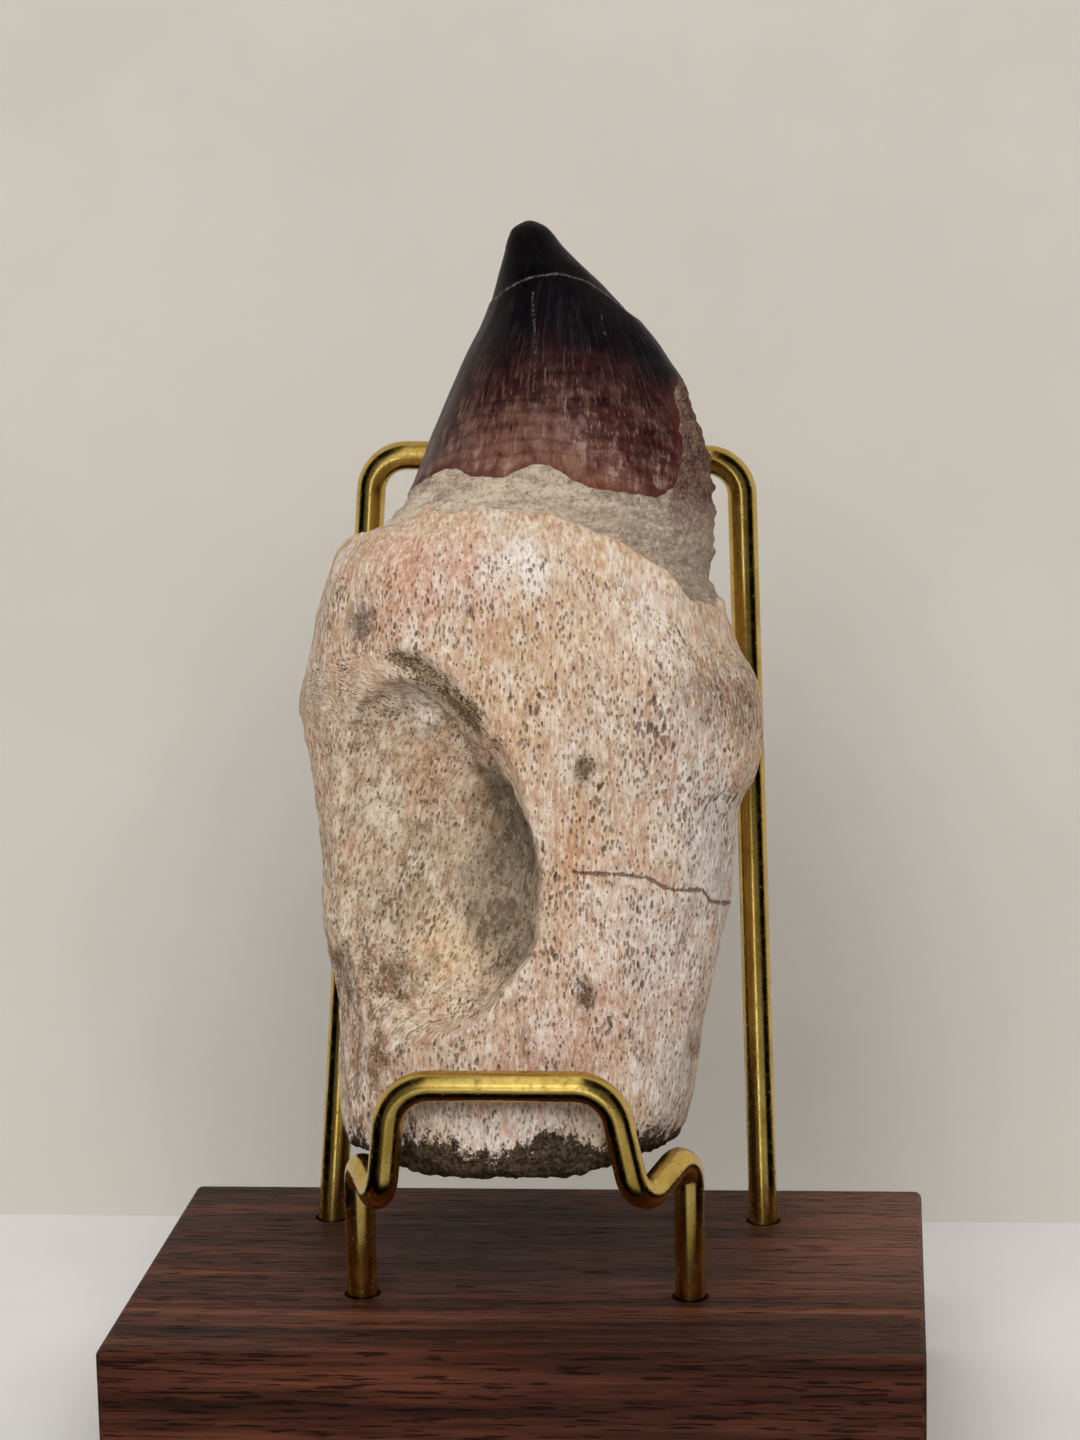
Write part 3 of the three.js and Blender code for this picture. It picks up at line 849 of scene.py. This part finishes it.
def boneLook(shader, place, crumb, stain):
    # fibres along the tooth, slanting in the hollow, then small and large pores
    tones = toneSet(toothTones["bone"])
    inHollow = shader.attribute("inHollow")
    blotch = shader.noise(shader.stretch(place, (0.30, 0.30, 0.20)), 1.0, 5.0, 0.62)
    slanted = shader.stretch(place, rotation=(0, math.radians(-24), 0))
    grainPlace = shader.mixVector(inHollow * 0.6, place, slanted)
    fibre = shader.noise(shader.stretch(grainPlace, (2.6, 2.6, 0.85)), 1.0, 5.0, 0.68)
    streak = shader.noise(shader.stretch(grainPlace, (0.9, 0.9, 0.13)), 1.0, 4.0, 0.6)
    small = shader.cells(shader.stretch(grainPlace, (2.6, 2.6, 1.1)), 1.0)
    large = shader.cells(shader.stretch(grainPlace, (1.2, 1.2, 0.5), location=(3, 1, 2)), 1.0)
    patch = shader.noise(shader.stretch(place, (0.24, 0.24, 0.15), location=(5, 1, 8)), 1.0, 5.0, 0.68)
    smoothBand = (shader.attribute("rootEdge") + (blotch - 0.5) * 6).rise(-4.5, -2.5) * 0.4
    crowd = (blotch - 0.5) * 0.9 + (streak - 0.5) * 0.5 + (stain - 0.5) * 0.3 - smoothBand - inHollow * 0.04
    smallPores = (small + (crumb - 0.5) * 0.5 - crowd).fall(0.10, 0.34)
    largePores = (large + (crumb - 0.5) * 0.4 - crowd).fall(0.00, 0.17)
    fibreShare = 1 - inHollow * 0.3
    openShare = 1 - inHollow * 0.65
    bone = shader.coats(shader.attribute("tint", 0), [
        (patch.rise(0.48, 0.64) * openShare * 0.42, tones["pale"]),
        (patch.fall(0.36, 0.50) * openShare * 0.40, tones["rose"]),
        (stain.rise(0.50, 0.70) * openShare * 0.42, tones["chalk"]),
        (stain.fall(0.33, 0.48) * 0.52, tones["tan"]),
        (fibre.rise(0.51, 0.65) * fibreShare * 0.54, tones["fibre"]),
        (fibre.fall(0.37, 0.50) * fibreShare * 0.62, tones["groove"]),
        (streak.rise(0.54, 0.70) * 0.3, tones["streak"]),
        (streak.fall(0.32, 0.46) * 0.42, tones["rust"]),
        (smallPores * 0.66, shader.mix(patch.rise(0.42, 0.56), tones["poreDark"], tones["poreRed"])),
        (largePores * 0.66, tones["poreDeep"]),
    ])
    bone = hollowLook(shader, bone, place, inHollow, fibre, stain, crumb)
    pit = shader.attribute("pit") * (1 - crumb.rise(0.46, 0.58) * 0.5)
    bone = shader.mix(pit * 0.85, bone, tones["pit"])
    return bone, fibre * 0.55 + crumb * 0.30 - smallPores * 0.5 - largePores


def hollowLook(shader, bone, place, inHollow, fibre, stain, crumb):
    # a pitted floor, a dark spongy wall at the right whose grey has painted shade laid in, darkest at its
    # top, and coarse clumps low at the left
    tones = toneSet(toothTones["hollow"])
    across, _, height = shader.split(place)
    darkWall = shader.attribute("darkWall")
    topWall = height.rise(27, 34)
    rough = across.fall(-15, -8) * height.fall(20, 27)
    clumps = stain * 0.7 + crumb * 0.3
    return shader.coats(bone, [
        (inHollow * (fibre.fall(0.36, 0.50) * 0.45 + stain.fall(0.38, 0.5) * 0.3), tones["pore"]),
        (inHollow * crumb.rise(0.54, 0.66) * 0.3, tones["crumb"]),
        # painted shade over the right wall's grey matrix, deeper at its top
        (darkWall * (0.66 + topWall * 0.24), tones["wall"]),
        (darkWall * topWall * 0.4, tones["paintedWallShade"]),
        (darkWall * fibre.rise(0.50, 0.62) * 0.42, tones["wallFibre"]),
        (darkWall * stain.fall(0.40, 0.52) * 0.45, tones["wallStain"]),
        (darkWall * crumb.fall(0.34, 0.46) * 0.55, tones["wallCrumb"]),
        (rough * clumps.fall(0.42, 0.50) * 0.6, tones["clumpDark"]),
        (rough * clumps.rise(0.53, 0.60) * 0.45, tones["clumpPale"]),
    ])


def matrixLook(shader, place, crumb, stain):
    # sandy matrix between the root and the enamel, and the speckled strip beside the enamel
    tones = toneSet(toothTones["matrix"])
    across, _, height = shader.split(place)
    grit = shader.noise(place, 2.2, 6.0, 0.8)
    layer = shader.noise(shader.stretch(place, (0.22, 0.22, 0.7), location=(2, 7, 3)), 1.0, 5.0, 0.7)
    speckle = shader.mix(
        (crumb * 0.6 + stain * 0.4).rise(0.45, 0.56), tones["stripDark"], tones["stripPale"])
    onStrip = shader.attribute("strip").rise(-0.4, 0.4) * height.rise(64, 70)
    matrix = shader.mix(layer.rise(0.36, 0.62), tones["dark"], tones["pale"])
    matrix = shader.coats(matrix, [
        (across.fall(-9, -3) * layer.rise(0.44, 0.56) * 0.5, tones["left"]),
        (across.rise(3, 15) * 0.6, tones["right"]),
        (onStrip, speckle),
        (grit.rise(0.51, 0.62) * (0.55 - onStrip * 0.35), tones["gritPale"]),
        (grit.fall(0.37, 0.49) * 0.65, tones["gritDark"]),
    ])
    return matrix, grit * 1.1


def crownLook(shader, place):
    # black tip, dark purple, then warm brown at the foot, with flutes and growth lines
    tones = toneSet(toothTones["crown"])
    across, depth, height = shader.split(place)
    # the flutes and threads run together towards a point over the tip
    fan = 14 / (102 - height)
    fanned = shader.combine((across - 3.5) * fan, (depth - 0.5) * fan, height)
    flute = shader.noise(shader.stretch(fanned, (3.6, 3.6, 0.06)), 1.0, 3.0, 0.7)
    thread = shader.noise(shader.stretch(fanned, (6.0, 6.0, 0.15), location=(4, 8, 6)), 1.0, 2.0, 0.6)
    mottle = shader.noise(shader.stretch(place, (0.7, 0.7, 0.32), location=(1, 6, 2)), 1.0, 6.0, 0.7)
    line = shader.noise(shader.stretch(place, (0.05, 0.05, 1.1)), 1.0, 3.0, 0.6)
    cloud = shader.noise(shader.stretch(place, (0.16, 0.16, 0.22)), 1.0, 4.0, 0.6)
    arch = (across - 2) * (across - 2) * 0.028
    wander = (cloud - 0.5) * 7 + (flute - 0.5) * 6 + (thread - 0.5) * 4 + (line - 0.5) * 4
    level = (height + arch + wander - 67) * (1 / 30)
    faded = level.fall(0.30, 0.62)
    darkZone = level.rise(0.25, 0.35) * level.fall(0.55, 0.72)
    band = line.fall(0.36, 0.46) * level.rise(0.28, 0.36) * level.fall(0.46, 0.56)
    ripple = ((height + arch * 0.4) * 4.6 + (cloud - 0.5) * 12 + (line - 0.5) * 6).sine().rise(0.1, 0.9)
    lowEdge = (level + (cloud - 0.5) * 0.2).fall(0.06, 0.16)
    crown = shader.ramp(level, [(at, tone(*colour)) for at, colour in toothTones["crownLevels"]])
    crown = shader.coats(crown, [
        # painted sheen down the crown's left side, and on its right a red-brown tone that is partly painted
        # sheen
        (across.fall(-12, -2) * level.fall(0.2, 0.7) * 0.4, tones["left"]),
        (across.rise(6, 16) * level.fall(0.3, 0.75) * 0.5, tones["right"]),
        (band * 0.7, tones["band"]),
        (mottle.rise(0.50, 0.64) * faded * 0.32, tones["mottle"]),
        (flute.rise(0.54, 0.70) * (faded * 0.26 + 0.05), tones["flute"]),
        (thread.rise(0.56, 0.70) * (faded * 0.28 + darkZone * 0.14 + 0.03), tones["thread"]),
        (ripple * level.rise(0.12, 0.22) * level.fall(0.42, 0.56) * 0.3, tones["ripple"]),
        (across.rise(5, 12) * lowEdge * 0.6, tones["amber"]),
    ])
    shade = mottle.fall(0.36, 0.52) * 0.45 + flute.fall(0.36, 0.50) * 0.35 + thread.fall(0.36, 0.46) * 0.3
    crown = shader.mix(shade, crown, tones["shade"], "MULTIPLY")
    haze = cloud.rise(0.46, 0.60) * level.fall(0.30, 0.44) * mottle.rise(0.53, 0.62)
    foot = (shader.attribute("enamelEdge") + (mottle - 0.5) * 2).fall(0.1, 1.4)
    crown = shader.coats(crown, [(haze * 0.3, tones["haze"]), (foot * 0.5, tones["foot"])])
    return crown, flute, thread, flute * 0.12 + thread * 0.10 + line * 0.08


def fossilFinish():
    shader = Shader("fossil_tooth_and_matrix")
    tones = toneSet(toothTones["marks"])
    lean = fossilTooth["lean"]
    seat = Matrix.Rotation(lean, 3, "X") @ Vector(fossilTooth["seat"])
    place = shader.coordinates((lean, 0, 0), tuple(-seat))
    across, depth, height = shader.split(place)
    crumb = shader.noise(place, 3.4, 3.0, 0.65)
    stain = shader.noise(shader.stretch(place, (0.75, 0.75, 0.5), location=(9, 4, 1)), 1.0, 4.0, 0.65)
    onEnamel = shader.attribute("enamelEdge").rise(-0.06, 0.06)
    onRoot = shader.attribute("rootEdge").fall(-0.15, 0.15)
    bone, boneRelief = boneLook(shader, place, crumb, stain)
    matrix, matrixRelief = matrixLook(shader, place, crumb, stain)
    crown, flute, thread, crownRelief = crownLook(shader, place)

    # the cracks, thicker and thinner along their way
    ring = abs(shader.attribute("ringCrack") + (crumb - 0.5) * 0.5)
    ring = ring + (thread - 0.5) * 0.5 - across.rise(7, 10) * depth.fall(-3.0, -1.0) * 0.12
    rootLine = abs(shader.attribute("rootCrack") + (crumb - 0.5) * 0.7)
    crownLine = abs(shader.attribute("crownCrack") + (crumb - 0.5) * 0.6)
    ringMask = ring.fall(0.05, 0.18) * onEnamel * crumb.rise(0.42, 0.54)
    rootMask = (rootLine + (stain - 0.5) * 0.7).fall(0.04, 0.26)
    crownMask = (crownLine + (thread - 0.5) * 0.3).fall(0.06, 0.19) * onEnamel * crumb.rise(0.42, 0.54)

    # the slot, the seam and the broken underside, whose near-black is partly painted shade under the tooth
    slotEnds = across.fall(-12.5, -9.5) * 0.3 + height.fall(44.5, 46.5) * 0.3
    slot = shader.attribute("slotNear") + slotEnds + (crumb - 0.5) * 2.2 + (stain - 0.5) * 2.4
    seam = shader.attribute("seamNear").fall(0.15, 0.45) * crumb.rise(0.38, 0.5)
    broken = (shader.attribute("overBroken") + (stain - 0.5) * 8 + (crumb - 0.5) * 4).fall(-0.5, 0.4)
    sponge = shader.noise(place, 1.9, 3.0, 0.7)
    slotTone = shader.mix(crumb.rise(0.38, 0.62), tones["slotDark"], tones["slotPale"])
    spongeAndShadeTone = shader.mix(sponge.rise(0.40, 0.60), tones["spongeAndShadeDark"], tones["spongePale"])
    colour = shader.coats(matrix, [
        (onRoot, bone),
        (onEnamel, crown),
        (ringMask * 0.6, tones["ring"]),
        (crownMask * 0.55, tones["crownCrack"]),
        (rootMask * 0.75, tones["rootCrack"]),
        (slot.fall(0.55, 1.1) * 0.88, slotTone),
        (seam * 0.6, tones["seam"]),
        (broken * 0.96, spongeAndShadeTone),
    ])

    relief = (onRoot * boneRelief + (1 - onRoot) * matrixRelief) * (1 - onEnamel) + onEnamel * crownRelief
    relief = relief - (ringMask * 0.4 + rootMask + crownMask * 0.4) + broken * sponge * 2
    return shader.finish(
        Base_Color=colour,
        Roughness=toothGloss["boneRoughness"] - onEnamel * (toothGloss["enamelPolish"] - flute * 0.14),
        Normal=shader.bump(relief, toothGloss["relief"] * mm, 0.9),
        Specular_IOR_Level=toothGloss["specular"])


# Studio: a pale floor, a backdrop that is seen from its front only, and broad soft lights

studio = {
    "floorTone": (223, 221, 219),
    "wallTone": (202, 196, 187),
    "wallY": 72,
    "reach": 24000,
    "clouding": 4,          # how much darker floor and backdrop are in soft patches, of 255
    "roughness": 0.85,
    "aim": (0, 0, 70),
    # broad soft lights: the place each comes from, its width in degrees and its strength
    "softLights": {
        "keyLeft": {"from": (-220, -600, 590), "width": 32, "strength": 1.55},
        "keyRight": {"from": (260, -600, 590), "width": 32, "strength": 1.5},
        "left": {"from": (-640, -260, 240), "width": 60, "strength": 0.30},
        "right": {"from": (640, -260, 240), "width": 60, "strength": 0.30},
    },
    # strips that only show as highlights on the brass and the enamel
    "strips": {
        "overheadStrip": {"at": (-40, -400, 560), "size": (180, 1000), "watts": 0.7},
        "frontStrip": {"at": (-30, -640, 120), "size": (90, 460), "watts": 0.25},
        "roomGlow": {"at": (0, -1500, 300), "size": (2600, 1600), "watts": 1.7},
        "tableGlow": {"at": (230, -700, -230), "size": (1000, 460), "watts": 0.6},
    },
    # the pale room past the floor, seen by the camera alone
    "room": 0.62,
    "roomTone": (1.0, 0.98, 0.95, 1.0),
}


def plainFinish(name, colour):
    shader = Shader(name)
    cloud = shader.noise(shader.coordinates(), 0.03, 3.0)
    behind = shader.add("ShaderNodeNewGeometry", out="Backfacing")
    darker = [value - studio["clouding"] for value in colour]
    return shader.finish(
        Base_Color=shader.mix(cloud.rise(0.3, 0.7), tone(*colour), tone(*darker)),
        Roughness=studio["roughness"],
        Specular_IOR_Level=0,
        Alpha=1 - behind)


def makeSheet(name, location, rotation, colour):
    deselectAll()
    bpy.ops.mesh.primitive_plane_add(size=studio["reach"] * mm, location=location, rotation=rotation)
    sheet = placeInMesh(bpy.context.object, name)
    sheet.data.materials.append(plainFinish("pale_" + name, colour))
    return sheet


def pointAt(lamp, at):
    bpy.context.scene.collection.objects.link(lamp)
    lamp.location = Vector(at) * mm
    aim = Vector(studio["aim"]) * mm - lamp.location
    lamp.rotation_euler = aim.to_track_quat("-Z", "Y").to_euler()


def makeStudio():
    wallY, half = studio["wallY"] * mm, studio["reach"] * mm / 2
    floor = makeSheet("floor", (0, 0, 0), (0, 0, 0), studio["floorTone"])
    floor.visible_glossy = False   # keeps the pale floor out of the brass
    makeSheet("backdrop", (0, wallY, half), (math.pi / 2, 0, 0), studio["wallTone"])

    for name, light in studio["softLights"].items():
        data = bpy.data.lights.new(name, "SUN")
        data.energy = light["strength"]
        data.angle = math.radians(light["width"])
        sun = bpy.data.objects.new(name, data)
        pointAt(sun, light["from"])
        sun.visible_glossy = False
    for name, strip in studio["strips"].items():
        data = bpy.data.lights.new(name, "AREA")
        data.shape = "RECTANGLE"
        data.size, data.size_y = (side * mm for side in strip["size"])
        data.energy = strip["watts"]
        lamp = bpy.data.objects.new(name, data)
        pointAt(lamp, strip["at"])
        lamp.visible_diffuse = False

    world = bpy.data.worlds.new("pale_room")
    world.use_nodes = True
    background = world.node_tree.nodes["Background"]
    background.inputs["Color"].default_value = studio["roomTone"]
    background.inputs["Strength"].default_value = studio["room"]
    world.cycles_visibility.diffuse = False
    world.cycles_visibility.glossy = False
    bpy.context.scene.world = world
    bpy.context.scene.view_settings.view_transform = "Standard"
    bpy.context.scene.view_settings.look = "None"


camera = {
    "at": (38.19, -356.98, 144.46),
    "yaw": math.radians(4.35),      # to the left
    "pitch": math.radians(10.39),   # down
    "roll": math.radians(-0.93),
    "lens": 87.0,
    "sensor": 36,
    "shiftX": -0.06,
    "clip": (0.01, 10),             # metres
}


def makeCamera():
    yaw, pitch, roll = camera["yaw"], camera["pitch"], camera["roll"]
    ahead = Vector((-math.sin(yaw) * math.cos(pitch), math.cos(yaw) * math.cos(pitch), -math.sin(pitch)))
    level = Vector((math.cos(yaw), math.sin(yaw), 0))
    upright = level.cross(ahead)
    right = math.cos(roll) * level + math.sin(roll) * upright
    up = math.cos(roll) * upright - math.sin(roll) * level
    data = bpy.data.cameras.new("camera")
    data.lens = camera["lens"]
    data.sensor_width = camera["sensor"]
    data.shift_x = camera["shiftX"]
    data.clip_start, data.clip_end = camera["clip"]
    view = bpy.data.objects.new("camera", data)
    bpy.context.scene.collection.objects.link(view)
    turned = Matrix((right, up, -ahead)).transposed()
    view.matrix_world = Matrix.Translation(Vector(camera["at"]) * mm) @ turned.to_4x4()
    bpy.context.scene.camera = view


# Build

routes = {"back_wire": backWireRoute(), "front_wire": frontWireRoute()}
brass = brassFinish()
for node, (corners, bends) in routes.items():
    wire = makeWire(f"brass_{node}", corners, bends)
    wire.data.materials.append(brass)
    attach(wire, "root")
    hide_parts(node)
    print("wire", wire.name, len(wire.data.polygons), "faces")

block = makeBlock(routes.values())
block.data.materials.append(walnutFinish())
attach(block, "root")
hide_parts("walnut_base")
print("block", len(block.data.polygons), "faces")

tooth = copyTooth()
sculptTooth(tooth)
tooth.data.materials.append(fossilFinish())
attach(tooth, "root")
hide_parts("tooth")
print("tooth", len(tooth.data.polygons), "faces")

makeStudio()
makeCamera()
print("studio and camera")
